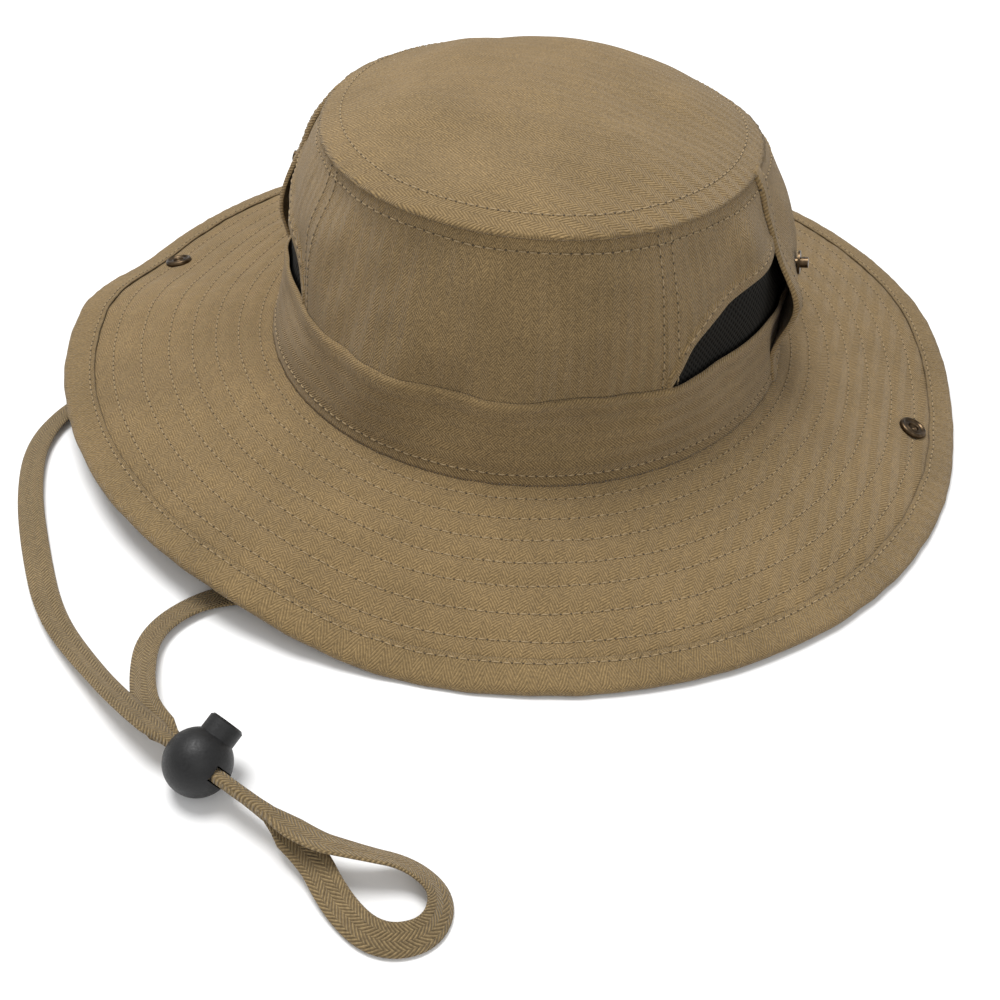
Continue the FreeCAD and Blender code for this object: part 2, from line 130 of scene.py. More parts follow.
def edge_height(angle):
    front_right = 10.0 * plateau(angle, 226.0, 25.0, 50.0)
    back_left = 8.0 * plateau(angle, 45.0, 12.0, 45.0)
    return EDGE_LIFT + front_right + back_left + math.sin(math.radians(2.0 * angle)) ** 2


def brim_point(angle, reach, height):
    """A point of the brim: reach down the slope, height up from the binding's underside."""
    sine = (SEAM_REFERENCE_Z - edge_height(angle)) / BRIM_WIDTH
    point = base_point(angle) + outward(angle) * (reach * math.sqrt(1.0 - sine * sine))
    point.z = SEAM_REFERENCE_Z - max(reach, 0.0) * sine + height
    return point


def row_valley(reach):
    """0 on a row of sewing and 1 well away from every row."""
    nearest = min(abs(reach - row) for row in BRIM_ROWS + [BINDING_ROW])
    return 1.0 - math.exp(-(nearest / VALLEY_WIDTH) ** 2)


def pucker(point, size, depth):
    """Uneven waves in the cloth, of one size and depth in millimetres."""
    return depth * noise.noise(Vector(point) / size)


def brim_top_height(angle, reach):
    flat = base_point(angle) + outward(angle) * reach
    rise = QUILT_PUFF * (row_valley(reach) - 1.0)
    rise += pucker(flat, *FINE_PUCKER)
    inside = smooth(reach / 12.0) * smooth((BINDING_ROW + 5.4 - reach) / 14.0)
    rise += pucker(flat, *BROAD_PUCKER) * inside
    return STACK + rise


def tip_seam_height(angle):
    back = math.sin(math.radians(angle))
    if back < 0:
        return TIP_SEAM_Z + TIP_FRONT_RISE * back * back
    return TIP_SEAM_Z - TIP_BACK_DROP * back * back


def tip_plan(angle, share):
    turn = math.radians(angle)
    half_length = TIP_BACK if math.sin(turn) > 0 else TIP_FRONT
    y = TIP_CENTRE_Y + share * half_length * math.sin(turn)
    return Vector((share * TIP_HALF_WIDTH * math.cos(turn), y, 0))


def wall_height(angle, level):
    return SEAM_Z + (tip_seam_height(angle) - SEAM_Z) * level


def level_at(angle, height):
    return (height - SEAM_Z) / (tip_seam_height(angle) - SEAM_Z)


def soft_dent(angle, level):
    """Slack in the crown's wall, the same for every layer of it, in millimetres."""
    place = Vector((math.cos(math.radians(angle)), math.sin(math.radians(angle)), 0.62 * level))
    fade = smooth(level / 0.3) * smooth((1.0 - level) / 0.16)
    slack = 3.4 * noise.noise(place * 3.1 + Vector((3.0, 1.0, 7.0)))
    slack += 1.0 * noise.noise(place * 8.0 + Vector((1.0, 5.0, 2.0)))
    pull = 0.55 * noise.noise(Vector((angle / 2.2, 3.0 * level, 4.0)))
    drawn = math.exp(-((1.0 - level) / 0.07) ** 2) + 0.6 * math.exp(-(level / 0.09) ** 2)
    return (slack - 0.7) * fade + pull * drawn


def wall_point(angle, level, offset):
    swell = BULGE_SIDE + BULGE_BACK_MORE * math.sin(math.radians(angle))
    profile = level * level * (1.0 - level) / 0.148
    point = base_point(angle) * (1.0 - level) + tip_plan(angle, 1.0) * level
    point += outward(angle) * (swell * profile + offset + soft_dent(angle, level))
    point.z = wall_height(angle, level)
    return point


def flap_gape(angle, height):
    if height <= FLAP_LOW or height >= FLAP_HIGH:
        return 0.0
    rise = math.sin(math.pi * (height - FLAP_LOW) / (FLAP_HIGH - FLAP_LOW)) ** 2
    total = 0.0
    for centre in (HEM_ANGLE, 180.0 - HEM_ANGLE):
        away = ((angle - centre + 180.0) % 360.0 - 180.0) / FLAP_SPREAD
        total += math.exp(-away * away)
    return FLAP_GAPE * rise * total


def flap_point(angle, level, offset):
    return wall_point(angle, level, offset + flap_gape(angle, wall_height(angle, level)))


def dome_point(angle, share, drop=0.0):
    """The crown's top piece, which turns down over its seam at share 1."""
    point = tip_plan(angle, share)
    slack = 3.0 * noise.noise(point / 38.0 + Vector((2.0, 9.0, 1.0))) - 0.5
    slack += 0.5 * noise.noise(point / 11.0)
    slack *= smooth((1.0 - share) / 0.3)
    draw = 0.5 * noise.noise(Vector((angle / 2.2, 0, 9.0))) * math.exp(-((1.0 - share) / 0.06) ** 2)
    seam = tip_seam_height(angle)
    height = TIP_SEAM_Z + (seam - TIP_SEAM_Z) * share ** 2 + DOME_RISE * (1.0 - share ** DOME_POWER)
    point.z = height + slack + draw - drop
    return point


# ---------------------------------------------------------------- making meshes
def new_object(name, verts, faces, uvs=None, material=None):
    """A mesh in metres from points in millimetres; uvs has one pair per vertex, in metres."""
    mesh = bpy.data.meshes.new(name)
    mesh.from_pydata((np.asarray(verts, float) * MM).tolist(), [], faces)
    mesh.update()
    mesh.polygons.foreach_set("use_smooth", [True] * len(mesh.polygons))
    if uvs is not None:
        layer = mesh.uv_layers.new(name="Cloth")
        corner = np.zeros(len(mesh.loops), np.int32)
        mesh.loops.foreach_get("vertex_index", corner)
        layer.data.foreach_set("uv", (np.asarray(uvs, float)[corner]).astype(np.float32).ravel())
    made = bpy.data.objects.new(name, mesh)
    bpy.context.scene.collection.objects.link(made)
    if material is not None:
        mesh.materials.append(material)
    return made


def grid_faces(across, along, start, closed, flip):
    """Quads of a grid whose vertices run along first; closed joins the last column to the first."""
    faces = []
    columns = across if closed else across - 1
    for i in range(columns):
        j = (i + 1) % across
        for k in range(along - 1):
            face = (start + i * along + k, start + j * along + k,
                    start + j * along + k + 1, start + i * along + k + 1)
            faces.append(face[::-1] if flip else face)
    return faces


def shell(name, outer, inner, uvs, material, closed=False, capped=True):
    """Cloth with two faces and closed edges. outer and inner are lists of columns of points."""
    across = len(outer)
    along = len(outer[0])
    count = across * along
    verts = [point for column in outer for point in column]
    verts += [point for column in inner for point in column]
    flat = [pair for column in uvs for pair in column]
    faces = grid_faces(across, along, 0, closed, False)
    faces += grid_faces(across, along, count, closed, True)
    columns = across if closed else across - 1
    for i in range(columns):
        j = (i + 1) % across
        low_i = i * along
        low_j = j * along
        high_i = low_i + along - 1
        high_j = low_j + along - 1
        faces.append((low_j, low_i, count + low_i, count + low_j))
        faces.append((high_i, high_j, count + high_j, count + high_i))
    if not closed and capped:
        last = (across - 1) * along
        for k in range(along - 1):
            faces.append((k, k + 1, count + k + 1, count + k))
            faces.append((last + k + 1, last + k, count + last + k, count + last + k + 1))
    return new_object(name, verts, faces, flat + flat, material)


def steps(low, high, count):
    return [low + (high - low) * index / count for index in range(count + 1)]


def normal_of(surface, a, b, step_a=0.4, step_b=0.4):
    across = surface(a + step_a, b) - surface(a - step_a, b)
    along = surface(a, b + step_b) - surface(a, b - step_b)
    return across.cross(along).normalized()


def dense_path(surface, places, out):
    """Points and normals of a line drawn on a surface; out points away from the hat."""
    points = []
    normals = []
    for a, b, step_b in places:
        normal = normal_of(surface, a, b, 0.4, step_b)
        point = surface(a, b)
        if normal.dot(out(point)) < 0:
            normal = -normal
        points.append(point)
        normals.append(normal)
    return np.array(points), np.array(normals)


# Along a stitch: share of its half length, size and rise, both as shares of its radius.
STITCH_RINGS = [(-1.0, 0.35, -0.9), (-0.72, 0.9, 0.0), (0.0, 1.0, 0.35), (0.72, 0.9, 0.0),
                (1.0, 0.35, -0.9)]
STITCH_SIDES = 6
STITCH_LIFT = 0.05


def stitches(paths, name, material, length=STITCH_LENGTH, radius=THREAD, lift=STITCH_LIFT, first=0.0):
    """Rows of sewing: each stitch is a short thread that dips into the cloth at both ends."""
    verts = []
    faces = []
    for points, normals in paths:
        run = np.r_[0, np.cumsum(np.linalg.norm(np.diff(points, axis=0), axis=1))]
        count = int((run[-1] - first) / STITCH_PITCH)
        for index in range(count):
            middle = first + (index + 0.5) * STITCH_PITCH
            spot = [np.interp(middle, run, points[:, axis]) for axis in range(3)]
            up = np.array([np.interp(middle, run, normals[:, axis]) for axis in range(3)])
            ahead = np.array([np.interp(middle + 0.6, run, points[:, axis]) for axis in range(3)])
            behind = np.array([np.interp(middle - 0.6, run, points[:, axis]) for axis in range(3)])
            run_way = ahead - behind
            run_way /= np.linalg.norm(run_way)
            up /= np.linalg.norm(up)
            side = np.cross(run_way, up)
            start = len(verts)
            for share, size, rise in STITCH_RINGS:
                heart = spot + run_way * (share * length / 2) + up * (lift + rise * radius)
                for turn in range(STITCH_SIDES):
                    angle = 2 * math.pi * turn / STITCH_SIDES
                    round_it = side * math.cos(angle) + up * math.sin(angle)
                    verts.append(heart + round_it * radius * size)
            for ring in range(len(STITCH_RINGS) - 1):
                for turn in range(STITCH_SIDES):
                    after = (turn + 1) % STITCH_SIDES
                    a = start + ring * STITCH_SIDES
                    faces.append((a + turn, a + STITCH_SIDES + turn, a + STITCH_SIDES + after, a + after))
            last = start + (len(STITCH_RINGS) - 1) * STITCH_SIDES
            faces.append(tuple(start + turn for turn in range(STITCH_SIDES)))
            faces.append(tuple(last + turn for turn in reversed(range(STITCH_SIDES))))
    return new_object(name, verts, faces, None, material)


def needle_hole_shades(paths, name):
    """Dark dots between the stitches: painted shade of the holes where the thread goes through the cloth.
    """
    return stitches(paths, name, NEEDLE_HOLE_SHADE, HOLE_LENGTH, HOLE_RADIUS, HOLE_SINK, -0.5 * STITCH_PITCH)


def upward(_point):
    return Vector((0, 0, 1))


def downward(_point):
    return Vector((0, 0, -1))


def from_middle(point):
    return Vector((point.x, point.y, 0))


# ---------------------------------------------------------------- materials
COLOUR_A = 6                    # the colour sockets of a Mix node
COLOUR_B = 7
COLOUR_MIXED = 2
KNIT_PITCH = 0.0023             # from one hole of the mesh to the next
RIB_SLOPE = 1.15                # rise of the twill's diagonal ribs over their run


def new_material(name, roughness=0.9):
    material = bpy.data.materials.new(name)
    material.use_nodes = True
    shader = material.node_tree.nodes["Principled BSDF"]
    shader.inputs["Roughness"].default_value = roughness
    return material, material.node_tree, shader


def add(tree, kind, **settings):
    made = tree.nodes.new(kind)
    for key, value in settings.items():
        setattr(made, key, value)
    return made


def math_node(tree, operation, first, second=None):
    made = add(tree, "ShaderNodeMath", operation=operation)
    for socket, value in zip(made.inputs, (first, second)):
        if value is None:
            continue
        if isinstance(value, (int, float)):
            socket.default_value = value
        else:
            tree.links.new(value, socket)
    return made.outputs[0]


def noise_node(tree, scale, detail=3.0):
    """Noise fixed to the object, with scale waves to the metre."""
    made = add(tree, "ShaderNodeTexNoise")
    made.inputs["Scale"].default_value = scale
    made.inputs["Detail"].default_value = detail
    made.inputs["Roughness"].default_value = 0.55
    place = add(tree, "ShaderNodeTexCoord").outputs["Object"]
    tree.links.new(place, made.inputs["Vector"])
    return made.outputs["Fac"]


def chart_parts(tree):
    """The two directions of the cloth's own chart, in metres."""
    chart = add(tree, "ShaderNodeUVMap", uv_map="Cloth")
    parts = add(tree, "ShaderNodeSeparateXYZ")
    tree.links.new(chart.outputs["UV"], parts.inputs[0])
    return parts.outputs[0], parts.outputs[1]


def ramp_node(tree, factor, low, high, low_at=0.0, high_at=1.0):
    made = add(tree, "ShaderNodeValToRGB")
    made.color_ramp.elements[0].position = low_at
    made.color_ramp.elements[1].position = high_at
    made.color_ramp.elements[0].color = (*low, 1)
    made.color_ramp.elements[1].color = (*high, 1)
    tree.links.new(factor, made.inputs["Fac"])
    return made.outputs["Color"]


def multiplied(tree, share, first, second):
    """The first colour, multiplied by the second as far as share says."""
    made = add(tree, "ShaderNodeMix", data_type="RGBA", blend_type="MULTIPLY")
    made.inputs["Factor"].default_value = share
    tree.links.new(first, made.inputs[COLOUR_A])
    tree.links.new(second, made.inputs[COLOUR_B])
    return made.outputs[COLOUR_MIXED]


def bumped(tree, shader, height, distance):
    made = add(tree, "ShaderNodeBump")
    made.inputs["Distance"].default_value = distance
    made.inputs["Strength"].default_value = 1.0
    tree.links.new(height, made.inputs["Height"])
    tree.links.new(made.outputs["Normal"], shader.inputs["Normal"])


def herringbone(name, light, dark, stripe=0.0026, pitch=0.0011, turned=False, depth=0.00022):
    """Twill whose diagonal ribs change direction at every stripe, with uneven yarn."""
    material, tree, shader = new_material(name)
    across, along = chart_parts(tree)
    if turned:
        across, along = along, across
    wobble = math_node(tree, "MULTIPLY", noise_node(tree, 180.0, 2.0), 0.0006)
    stripes = math_node(tree, "DIVIDE", math_node(tree, "ADD", across, wobble), stripe)
    zigzag = math_node(tree, "PINGPONG", stripes, 1.0)
    half = math_node(tree, "MULTIPLY", math_node(tree, "FLOOR", stripes), 0.5)
    climb = math_node(tree, "MULTIPLY", zigzag, RIB_SLOPE * stripe / pitch)
    phase = math_node(tree, "ADD", math_node(tree, "DIVIDE", along, pitch), climb)
    phase = math_node(tree, "ADD", phase, half)
    wave = math_node(tree, "SINE", math_node(tree, "MULTIPLY", phase, 2 * math.pi))
    rib = math_node(tree, "MULTIPLY_ADD", wave, 0.5)
    rib.node.inputs[2].default_value = 0.5
    yarn = noise_node(tree, 1500.0, 3.0)
    mottle = noise_node(tree, 34.0, 4.0)
    cloth = ramp_node(tree, rib, dark, light, 0.1, 0.85)
    fleck = ramp_node(tree, yarn, (0.62, 0.61, 0.6), (1.28, 1.28, 1.26), 0.3, 0.7)
    cloth = multiplied(tree, 0.8, cloth, fleck)
    fade = ramp_node(tree, mottle, (0.88, 0.88, 0.87), (1.1, 1.1, 1.1), 0.3, 0.72)
    cloth = multiplied(tree, 1.0, cloth, fade)
    tree.links.new(cloth, shader.inputs["Base Color"])
    height = math_node(tree, "ADD", rib, math_node(tree, "MULTIPLY", yarn, 0.9))
    bumped(tree, shader, height, depth)
    rough = ramp_node(tree, yarn, (0.82, 0.82, 0.82), (0.97, 0.97, 0.97), 0.2, 0.8)
    tree.links.new(rough, shader.inputs["Roughness"])
    shader.inputs["Sheen Weight"].default_value = 0.12
    shader.inputs["Sheen Roughness"].default_value = 0.5
    shader.inputs["Specular IOR Level"].default_value = 0.2
    return material


def thread_material(name, light, dark):
    material, tree, shader = new_material(name, 0.7)
    fibre = noise_node(tree, 900.0, 2.0)
    tree.links.new(ramp_node(tree, fibre, dark, light, 0.3, 0.7), shader.inputs["Base Color"])
    bumped(tree, shader, noise_node(tree, 5000.0, 1.0), 0.00008)
    return material


def mesh_material(name):
    """Black knitted mesh: small holes in offset rows, painted near black as the shade seen through them.
    """
    material, tree, shader = new_material(name, 0.75)
    across, up = (math_node(tree, "DIVIDE", part, KNIT_PITCH) for part in chart_parts(tree))
    lean = math_node(tree, "ADD", across, up)
    fall = math_node(tree, "SUBTRACT", across, up)
    first = math_node(tree, "PINGPONG", lean, 0.5)
    second = math_node(tree, "PINGPONG", fall, 0.5)
    hole = math_node(tree, "MULTIPLY", math_node(tree, "MULTIPLY", first, second), 4.0)
    # the holes' colour is painted shade, darker than the black yarn
    tree.links.new(ramp_node(tree, hole, (0.012, 0.011, 0.009), (0.0015, 0.0014, 0.001), 0.25, 0.5),
                   shader.inputs["Base Color"])
    deep = math_node(tree, "SUBTRACT", 1.0, hole)
    bumped(tree, shader, deep, 0.0004)
    shader.inputs["Specular IOR Level"].default_value = 0.08
    return material


def metal_material(name, light, dark):
    """Metal with worn patches, brighter and rougher in places."""
    material, tree, shader = new_material(name)
    wear = noise_node(tree, 420.0, 5.0)
    tree.links.new(ramp_node(tree, wear, dark, light, 0.35, 0.68), shader.inputs["Base Color"])
    rough = ramp_node(tree, noise_node(tree, 900.0, 3.0), (0.28, 0.28, 0.28), (0.5, 0.5, 0.5), 0.3, 0.7)
    tree.links.new(rough, shader.inputs["Roughness"])
    shader.inputs["Metallic"].default_value = 1.0
    bumped(tree, shader, wear, 0.00003)
    return material


def plastic_material(name, light, dark):
    """Moulded plastic with a fine grained surface."""
    material, tree, shader = new_material(name)
    grain = noise_node(tree, 1800.0, 3.0)
    tree.links.new(ramp_node(tree, grain, dark, light, 0.3, 0.7), shader.inputs["Base Color"])
    rough = ramp_node(tree, grain, (0.4, 0.4, 0.4), (0.6, 0.6, 0.6), 0.3, 0.7)
    tree.links.new(rough, shader.inputs["Roughness"])
    bumped(tree, shader, grain, 0.00006)
    shader.inputs["Specular IOR Level"].default_value = 0.35
    return material


CLOTH_LIGHT = (0.278, 0.19, 0.088)
CLOTH_DARK = (0.176, 0.116, 0.05)
TWILL = herringbone("twill_cloth", CLOTH_LIGHT, CLOTH_DARK)
TWILL_TURNED = herringbone("twill_cloth_turned", CLOTH_LIGHT, CLOTH_DARK, turned=True)
BINDING_TWILL = herringbone("binding_cloth", (0.262, 0.18, 0.083), (0.178, 0.118, 0.051),
                            stripe=0.0026, pitch=0.0009, turned=True)
SWEAT = herringbone("sweatband_cloth", (0.2, 0.142, 0.075), (0.14, 0.1, 0.052), stripe=0.0012,
                    pitch=0.0006, depth=0.0001)
TAPE = herringbone("cord_tape", (0.275, 0.198, 0.1), (0.15, 0.104, 0.05), stripe=0.00188,
                   pitch=0.0011, depth=0.0003)
THREAD_TAN = thread_material("sewing_thread", (0.36, 0.262, 0.14), (0.22, 0.155, 0.078))
# The needle holes' dark brown is painted shade: the shade inside the holes where the thread goes through.
NEEDLE_HOLE_SHADE = thread_material("needle_hole_shade", (0.07, 0.047, 0.022), (0.045, 0.03, 0.014))
KNIT = mesh_material("vent_mesh")
BRONZE = metal_material("snap_metal", (0.13, 0.088, 0.05), (0.04, 0.027, 0.016))
BLACK = plastic_material("lock_plastic", (0.012, 0.012, 0.0122), (0.006, 0.006, 0.0062))
STEEL = metal_material("spring_steel", (0.62, 0.62, 0.63), (0.4, 0.4, 0.41))

# ---------------------------------------------------------------- camera and light
CAMERA_PLACE = (0.0795, -0.3922, 0.2497)
CAMERA_TURN = 12.0
CAMERA_FALL = 38.3
CAMERA_ROLL = 6.4


def place_camera():
    turn, fall, roll = (math.radians(value) for value in (CAMERA_TURN, CAMERA_FALL, CAMERA_ROLL))
    forward = Vector((-math.sin(turn) * math.cos(fall), math.cos(turn) * math.cos(fall), -math.sin(fall)))
    right = Vector((math.cos(turn), math.sin(turn), 0))
    up = right.cross(forward)
    level = right * math.cos(roll) + up * math.sin(roll)
    tall = up * math.cos(roll) - right * math.sin(roll)
    data = bpy.data.cameras.new("camera")
    data.lens = 46.8
    data.sensor_width = 36.0
    camera = bpy.data.objects.new("camera", data)
    turned = Matrix((level, tall, -forward)).transposed().to_4x4()
    camera.matrix_world = Matrix.Translation(CAMERA_PLACE) @ turned
    bpy.context.scene.collection.objects.link(camera)
    bpy.context.scene.camera = camera


def area_light(name, place, target, size, power):
    data = bpy.data.lights.new(name, "AREA")
    data.shape = "DISK"
    data.size = size
    data.energy = power
    lamp = bpy.data.objects.new(name, data)
    lamp.location = place
    lamp.rotation_euler = (Vector(target) - Vector(place)).to_track_quat("-Z", "Y").to_euler()
    bpy.context.scene.collection.objects.link(lamp)


def place_stage():
    size = 6000.0
    corners = [(-size, -size, 0), (size, -size, 0), (size, size, 0), (-size, size, 0)]
    floor = new_object("floor", corners, [(0, 1, 2, 3)])
    material, tree, shader = new_material("floor_paint", 0.95)
    tone = ramp_node(tree, noise_node(tree, 3.0), (0.86, 0.86, 0.86), (0.9, 0.9, 0.9))
    tree.links.new(tone, shader.inputs["Base Color"])
    shader.inputs["Specular IOR Level"].default_value = 0.1
    floor.data.materials.append(material)
    world = bpy.data.worlds.new("studio")
    world.use_nodes = True
    world.node_tree.nodes["Background"].inputs["Color"].default_value = (1, 1, 1, 1)
    world.node_tree.nodes["Background"].inputs["Strength"].default_value = 0.62
    bpy.context.scene.world = world
    area_light("key", (-0.35, 0.0, 1.3), (0, -0.03, 0.04), 0.7, 17.0)
    area_light("fill", (0.5, -0.9, 0.8), (0, -0.05, 0.04), 0.9, 2.5)


place_camera()
place_stage()
bpy.context.scene.view_settings.view_transform = "Standard"

# ---------------------------------------------------------------- chin cord
# (x, y, z) and the tape's roll in degrees from flat.
CORD_ROUTE = [
    ((-82.0, -5.0, 15.5), 0),
    ((-82.5, -17.0, 14.0), 10),
    ((-86.5, -31.0, 9.5), 20),
    ((-95.5, -46.0, 4.5), 20),
    ((-108.5, -60.0, 1.9), 10),
    ((-121.0, -75.0, 1.7), -8),
    ((-128.5, -92.5, 1.7), -16),
    ((-127.5, -113.0, 1.7), -16),
    ((-116.5, -135.0, 1.7), -10),
    ((-100.5, -157.5, 1.7), 5),
    ((-84.0, -178.0, 1.9), 15),
    ((-64.0, -193.0, 4.2), 25),
    ((-39.92, -208.79, 9.87), 20),
    ((7.69, -227.07, 9.87), 20),
    ((21.0, -225.5, 8.6), 30),
    ((32.5, -221.5, 4.2), 34),
    ((42.0, -226.0, 3.0), 38),
    ((42.0, -236.5, 3.0), 40),
    ((32.0, -242.0, 2.9), 34),
    ((20.5, -236.5, 2.9), 25),
    ((8.33, -225.39, 6.63), 20),
    ((-39.28, -207.11, 6.63), 20),
    ((-50.5, -191.0, 2.9), 30),
    ((-56.8, -174.5, 1.9), 18),
    ((-50.5, -158.5, 1.7), 10),
    ((-35.0, -148.0, 1.7), -12),
    ((-16.0, -138.0, 1.7), -16),
    ((5.0, -127.5, 1.7), -12),
    ((26.0, -114.5, 1.7), 0),
    ((45.5, -99.0, 1.7), 10),
    ((61.5, -81.0, 1.7), 15),
    ((73.0, -61.5, 2.2), 10),
    ((79.5, -43.0, 5.0), 0),
    ((82.0, -28.5, 10.0), 0),
    ((82.3, -16.5, 14.2), 0),
    ((82.0, -5.0, 15.5), 0),
]
TAPE_WIDTH = 7.5
TAPE_THICKNESS = 1.2
TAPE_BUNCHED = 2.7              # its thickness where the lock squeezes it
TAPE_SECTION = 16
TAPE_CORNER = 0.55
LOCK_CENTRE = Vector((-22.8, -214.4, 8.25))
LOCK_HEADING = math.radians(-21.0)
LOCK_REACH = (-9.0, 22.5)       # along the tape, the stretch that the lock covers as it slides
LOCK_WIDTH = 0.42               # the tape's width inside the lock, as a share of its own
ANCHOR_WIDTH = 0.6


def spline_points(points, resolution=10):
    """Points read from a smooth NURBS line, in millimetres."""
    curve = bpy.data.curves.new("route", "CURVE")
    curve.dimensions = "3D"
    curve.resolution_u = resolution
    line = curve.splines.new("NURBS")
    line.points.add(len(points) - 1)
    for place, point in zip(line.points, points):
        place.co = (*(MM * value for value in point), 1)
    line.order_u = 3
    line.use_endpoint_u = True
    holder = bpy.data.objects.new("route", curve)
    bpy.context.scene.collection.objects.link(holder)
    bpy.context.view_layer.update()
    mesh = bpy.data.meshes.new_from_object(holder)
    found = np.array([vertex.co for vertex in mesh.vertices], float) / MM
    bpy.data.objects.remove(holder)
    bpy.data.meshes.remove(mesh)
    return found


def squared_off(value):
    """Turns a circle's sine or cosine into that of a rounded rectangle."""
    return math.copysign(abs(value) ** TAPE_CORNER, value)


def tape_width(place, run, total):
    """How far the tape's width is open: gathered in the lock's reach and at both anchors."""
    away = Vector(place) - LOCK_CENTRE
    along = away.x * math.cos(LOCK_HEADING) + away.y * math.sin(LOCK_HEADING)
    off_line = (away - Vector((math.cos(LOCK_HEADING), math.sin(LOCK_HEADING), 0)) * along).length
    beyond = max(LOCK_REACH[0] - along, along - LOCK_REACH[1], 0.0) / 7.0
    beyond = max(beyond, (off_line - 9.0) / 4.0)
    open_share = LOCK_WIDTH + (1.0 - LOCK_WIDTH) * smooth(beyond)
    end = min(run, total - run) / 30.0
    return min(open_share, ANCHOR_WIDTH + (1.0 - ANCHOR_WIDTH) * smooth(end))


def chin_cord():
    """Flat tape that follows the spline, rolls as it lies, and bunches up inside the lock."""
    route = [point for point, _ in CORD_ROUTE]
    line = spline_points(route)
    shares = np.linspace(0, 1, len(line))
    knots = np.linspace(0, 1, len(CORD_ROUTE))
    rolls = np.interp(shares, knots, [roll for _, roll in CORD_ROUTE])
    ahead = np.gradient(line, axis=0)
    ahead /= np.linalg.norm(ahead, axis=1)[:, None]
    run = np.r_[0, np.cumsum(np.linalg.norm(np.diff(line, axis=0), axis=1))]
    verts = []
    uvs = []
    for place, way, roll, at in zip(line, ahead, rolls, run):
        width = tape_width(place, at, run[-1])
        side = np.cross(way, (0, 0, 1.0))
        side /= np.linalg.norm(side)
        up = np.cross(side, way)
        turn = math.radians(roll)
        flat = side * math.cos(turn) + up * math.sin(turn)
        rise = up * math.cos(turn) - side * math.sin(turn)
        bunch = smooth((1.0 - width) / (1.0 - LOCK_WIDTH))
        half_width = 0.5 * TAPE_WIDTH * width
        half_thick = 0.5 * (TAPE_THICKNESS + (TAPE_BUNCHED - TAPE_THICKNESS) * bunch)
        for step in range(TAPE_SECTION):
            angle = 2 * math.pi * step / TAPE_SECTION
            x = squared_off(math.cos(angle)) * half_width
            z = squared_off(math.sin(angle)) * half_thick
            verts.append(place + flat * x + rise * z)
            uvs.append((MM * x, MM * at))
    count = len(line)
    faces = []
    for ring in range(count - 1):
        for step in range(TAPE_SECTION):
            after = (step + 1) % TAPE_SECTION
            a = ring * TAPE_SECTION
            faces.append((a + step, a + after, a + TAPE_SECTION + after, a + TAPE_SECTION + step))
    last = (count - 1) * TAPE_SECTION
    faces.append(tuple(reversed(range(TAPE_SECTION))))
    faces.append(tuple(last + step for step in range(TAPE_SECTION)))
    tape = new_object("chin_cord_tape", verts, faces, uvs, TAPE)
    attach(tape, "hat")
    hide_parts("chin_cord")
    return tape, line


cord_piece, cord_line = chin_cord()

# ---------------------------------------------------------------- brim
HALVES = {"left": (-90.0, 90.0, 1), "right": (90.0, 270.0, -1)}
BRIM_COLUMNS = 330
BRIM_LAYERS = ("top", "interlining", "under")


def fold_with_wing(piece):
    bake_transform(piece)


def flat_place(point):
    return (MM * point.x, MM * point.y)


def brim_cloth(side):
    first, last, _ = HALVES[side]
    outer = []
    inner = []
    uvs = []
    reaches = steps(-SEAM_ALLOWANCE, BRIM_WIDTH, 76)
    for angle in steps(first, last, BRIM_COLUMNS):
        tops = []
        unders = []
        for reach in reaches:
            height = brim_top_height(angle, reach)
            tops.append(brim_point(angle, reach, height))
            low = BINDING_THICKNESS + 0.6 * (height - STACK) - 0.12 * (1.0 - row_valley(reach))
            unders.append(brim_point(angle, reach, low))
        outer.append(tops)
        inner.append(unders)
        uvs.append([flat_place(point) for point in tops])
    piece = shell(side + "_brim_cloth", outer, inner, uvs, TWILL, capped=False)
    fold_with_wing(piece)
    nodes = ["brim_" + layer for layer in BRIM_LAYERS] + [side + "_wing_" + layer for layer in BRIM_LAYERS]
    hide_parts(*nodes)


BINDING_SECTION = [(57.2, 2.32), (57.0, 2.6), (57.3, 2.85), (58.6, 2.7), (60.5, 2.95), (63.0, 2.95),
                   (65.4, 2.78), (66.4, 2.2), (66.62, 1.4), (66.4, 0.6), (65.5, 0.12), (63.0, 0.0),
                   (60.0, 0.0), (58.6, 0.1), (57.2, 0.02), (57.1, 0.46)]


def binding_point(angle, reach, height):
    edge = base_point(angle) + outward(angle) * reach
    top = min(max((height - 1.4) / 1.3, 0.0), 1.0)
    return brim_point(angle, reach + pucker(edge, 9.0, 0.35), height + top * pucker(edge, 3.2, 0.3))


def brim_binding(side):
    first, last, _ = HALVES[side]
    columns = []
    uvs = []
    for angle in steps(first, last, BRIM_COLUMNS):
        columns.append([binding_point(angle, reach, height) for reach, height in BINDING_SECTION])
        run = MM * math.radians(angle) * 150.0
        uvs.append([(MM * 1.1 * index, run) for index in range(len(BINDING_SECTION))])
    verts = [point for column in columns for point in column]
    flat = [pair for column in uvs for pair in column]
    count = len(BINDING_SECTION)
    faces = grid_faces(len(columns), count, 0, False, False)
    for index in range(len(columns) - 1):
        a = index * count
        faces.append((a + count - 1, a + 2 * count - 1, a + count, a))
    piece = new_object(side + "_binding_tape", verts, faces, flat, BINDING_TWILL)
    fold_with_wing(piece)
    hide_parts("brim_front_binding", "brim_back_binding", side + "_wing_binding")


def top_of_brim(angle, reach):
    return brim_point(angle, reach, brim_top_height(angle, reach))


def under_brim(angle, reach):
    low = BINDING_THICKNESS + 0.6 * (brim_top_height(angle, reach) - STACK) - 0.12
    return brim_point(angle, reach, low)


def top_of_binding(angle, reach):
    return binding_point(angle, reach, 2.72)


def row_paths(surface, side, rows, out):
    first, last, _ = HALVES[side]
    angles = steps(first, last, 480)
    return [dense_path(surface, [(angle, row, 0.8) for angle in angles], out) for row in rows]


